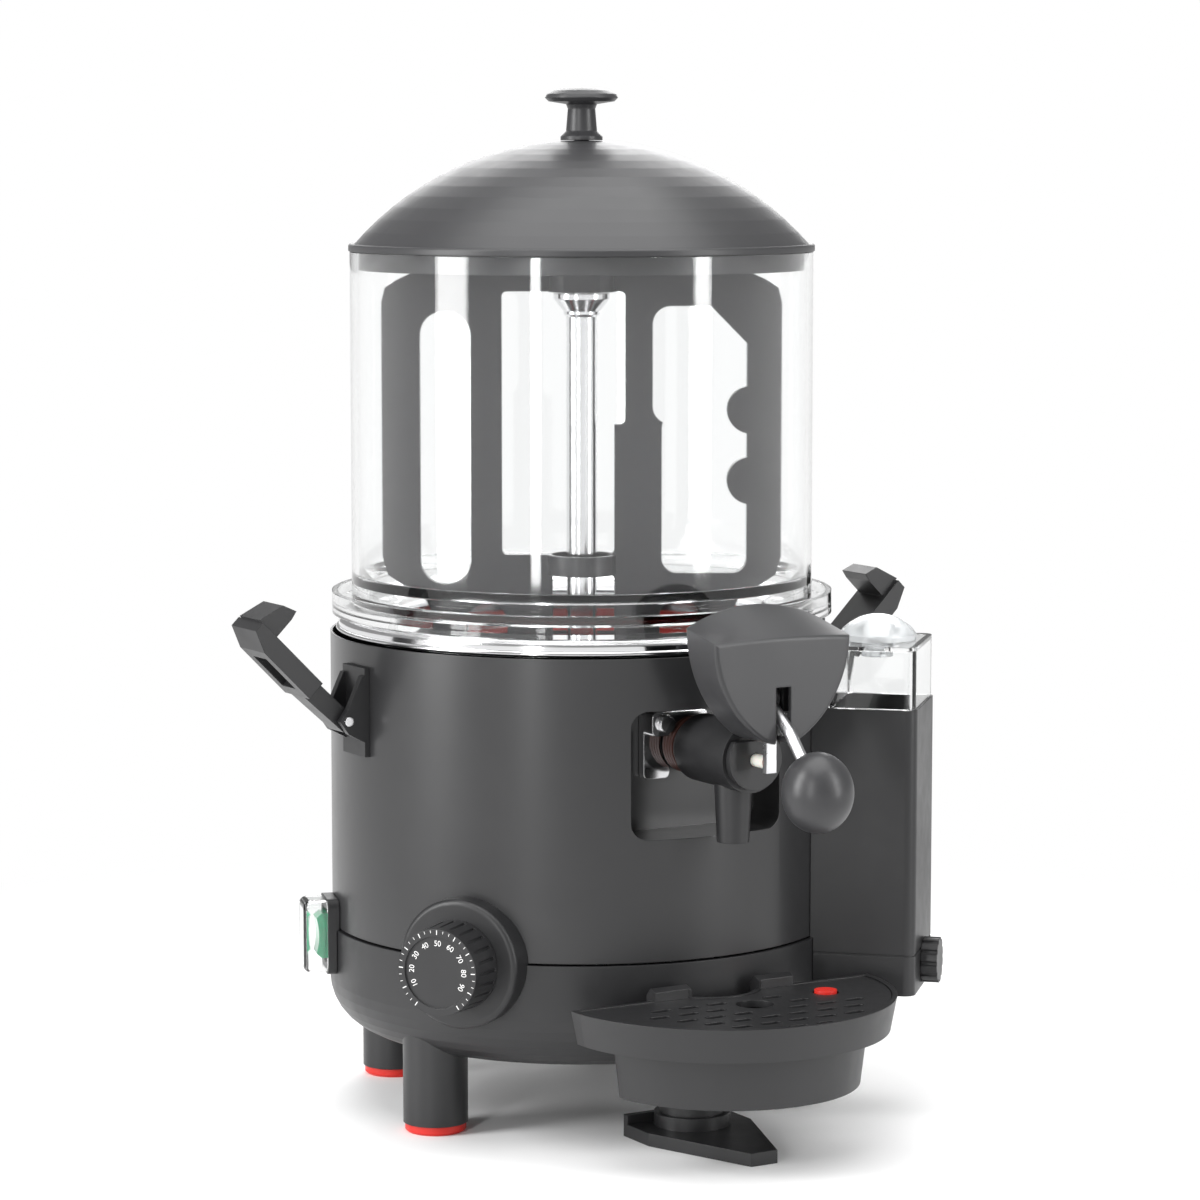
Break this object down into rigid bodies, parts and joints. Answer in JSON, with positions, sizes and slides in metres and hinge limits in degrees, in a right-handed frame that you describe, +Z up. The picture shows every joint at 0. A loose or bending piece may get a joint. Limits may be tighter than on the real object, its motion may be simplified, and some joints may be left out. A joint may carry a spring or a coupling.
{
  "type": "hot chocolate dispenser",
  "caption": "Round hot chocolate dispenser with a heated basin, clear bowl, domed lid, driven paddle, front tap, side water box, two side latches and a hook-on drip tray.",
  "frame": {"origin": "on the body's upright axis, level with the table, at the centre of the circle of foot screws", "axes": "+Z up, -Y towards the tap at the front, +X to the right of someone facing the tap"},
  "size_m": [0.4124, 0.402, 0.5587],
  "materials": {
    "black_plastic": "satin moulded plastic",
    "black_metal": "satin black powder coat",
    "grey_plastic": "satin dark grey moulding",
    "stainless": "polished stainless steel",
    "brushed": "mill finish steel",
    "clear": "clear polycarbonate",
    "red_silicone": "soft red silicone",
    "brown_seal": "ribbed brown rubber",
    "black_rubber": "soft black rubber",
    "green_lens": "glossy green lens",
    "white_plastic": "milky clear plastic",
    "zinc": "zinc plated",
    "nylon": "natural nylon"
  },
  "bodies": {
    "base": {"lower_housing": "black_plastic", "foot_pads": "red_silicone", "front_stabiliser": "black_plastic", "upper_casing": "black_metal", "tap_recess": "black_metal", "heating_basin": "stainless", "water_jacket": "brushed", "heating_element": "brushed", "column_tube": "stainless", "column_bushes": "nylon", "motor_plate": "zinc", "motor_can": "zinc", "motor_screws": "zinc", "tap_barrel": "black_plastic", "tap_seal": "brown_seal", "tap_clamp": "stainless", "tap_spout": "black_plastic", "tap_end_cap": "black_plastic", "lever_pin": "stainless", "tap_shield": "grey_plastic", "water_box": "black_plastic", "level_window": "clear", "dial_bezel": "black_plastic", "thermostat": "black_plastic", "switch_bezel": "black_plastic", "switch_body": "black_plastic", "switch_boot": "clear", "latch_bracket_left": "black_plastic", "latch_pin_left": "stainless", "latch_bracket_right": "black_plastic", "latch_pin_right": "stainless", "cable_gland": "black_plastic", "casing_screws": "zinc"},
    "drive": {"drive_shaft": "brushed", "drive_hub": "black_plastic", "drive_gear": "nylon"},
    "motor_rotor": {"motor_pinion": "zinc"},
    "paddle_body": {"paddle": "grey_plastic"},
    "bowl_body": {"bowl": "clear", "bowl_gasket": "red_silicone"},
    "lid": {"lid_dome": "grey_plastic", "lid_knob": "grey_plastic"},
    "lever": {"tap_lever": "brushed", "lever_ball": "grey_plastic"},
    "piston": {"tap_piston": "nylon", "piston_ring": "black_rubber"},
    "latch_left": {"latch_lever_left": "black_plastic"},
    "latch_right": {"latch_lever_right": "black_plastic"},
    "dial": {"dial_knob": "black_plastic"},
    "rocker": {"switch_rocker": "green_lens"},
    "box_cap": {"water_cap": "white_plastic"},
    "drain": {"drain_cap": "black_plastic"},
    "tray": {"drip_tray": "black_plastic"},
    "grille": {"drip_grille": "black_plastic"},
    "float": {"tray_float": "red_silicone"}
  },
  "joints": [
    {"name": "drive_spin", "type": "hinge", "parent": "base", "child": "drive", "pos_m": [0, 0, 0.07], "axis": [0, 0, 1], "continuous": true},
    {"name": "pinion_spin", "type": "hinge", "parent": "base", "child": "motor_rotor", "pos_m": [0, 0.054, 0.07], "axis": [0, 0, 1], "continuous": true},
    {"name": "bowl_lift", "type": "slide", "parent": "base", "child": "bowl_body", "axis": [0, 0, 1], "range_m": [0, 0.3]},
    {"name": "paddle_lift", "type": "slide", "parent": "drive", "child": "paddle_body", "axis": [0, 0, 1], "range_m": [0, 0.3]},
    {"name": "lid_lift", "type": "slide", "parent": "bowl_body", "child": "lid", "axis": [0, 0, 1], "range_m": [0, 0.06]},
    {"name": "tap_lever_pull", "type": "hinge", "parent": "base", "child": "lever", "pos_m": [0, -0.19, 0.246], "axis": [1, 0, 0], "range_deg": [-20, 0], "stiffness_Nm_per_rad": 0.3, "springref_deg": 11.46},
    {"name": "piston_slide", "type": "slide", "parent": "base", "child": "piston", "axis": [0, -1, 0], "range_m": [0, 0.0106]},
    {"name": "latch_close_left", "type": "hinge", "parent": "base", "child": "latch_left", "pos_m": [-0.151, 0, 0.222], "axis": [0, -1, 0], "range_deg": [-45, 0]},
    {"name": "latch_close_right", "type": "hinge", "parent": "base", "child": "latch_right", "pos_m": [0.151, 0, 0.222], "axis": [0, 1, 0], "range_deg": [-45, 0]},
    {"name": "dial_turn", "type": "hinge", "parent": "base", "child": "dial", "pos_m": [-0.13265, -0.08947, 0.1], "axis": [-0.829, -0.5592, 0], "range_deg": [0, 270]},
    {"name": "switch_rock", "type": "hinge", "parent": "base", "child": "rocker", "pos_m": [-0.12554, 0.04079, 0.096], "axis": [-0.309, -0.9511, 0], "range_deg": [-8, 8]},
    {"name": "box_cap_lift", "type": "slide", "parent": "base", "child": "box_cap", "axis": [0, 0, 1], "range_m": [0, 0.03]},
    {"name": "drain_unscrew", "type": "hinge", "parent": "base", "child": "drain", "pos_m": [0.14261, -0.13299, 0.084], "axis": [0.7314, -0.682, 0], "range_deg": [0, 360]},
    {"name": "tray_pull", "type": "slide", "parent": "base", "child": "tray", "axis": [0, -1, 0], "range_m": [0, 0.09]},
    {"name": "grille_lift", "type": "slide", "parent": "tray", "child": "grille", "axis": [0, 0, 1], "range_m": [0, 0.04]},
    {"name": "float_rise", "type": "slide", "parent": "tray", "child": "float", "axis": [0, 0, 1], "range_m": [0, 0.012]}
  ],
  "couplings": [
    {"joint": "pinion_spin", "follows": "drive_spin", "ratio": -5},
    {"joint": "paddle_lift", "follows": "bowl_lift", "ratio": 1},
    {"joint": "piston_slide", "follows": "tap_lever_pull", "m_per_rad": -0.03}
  ]
}
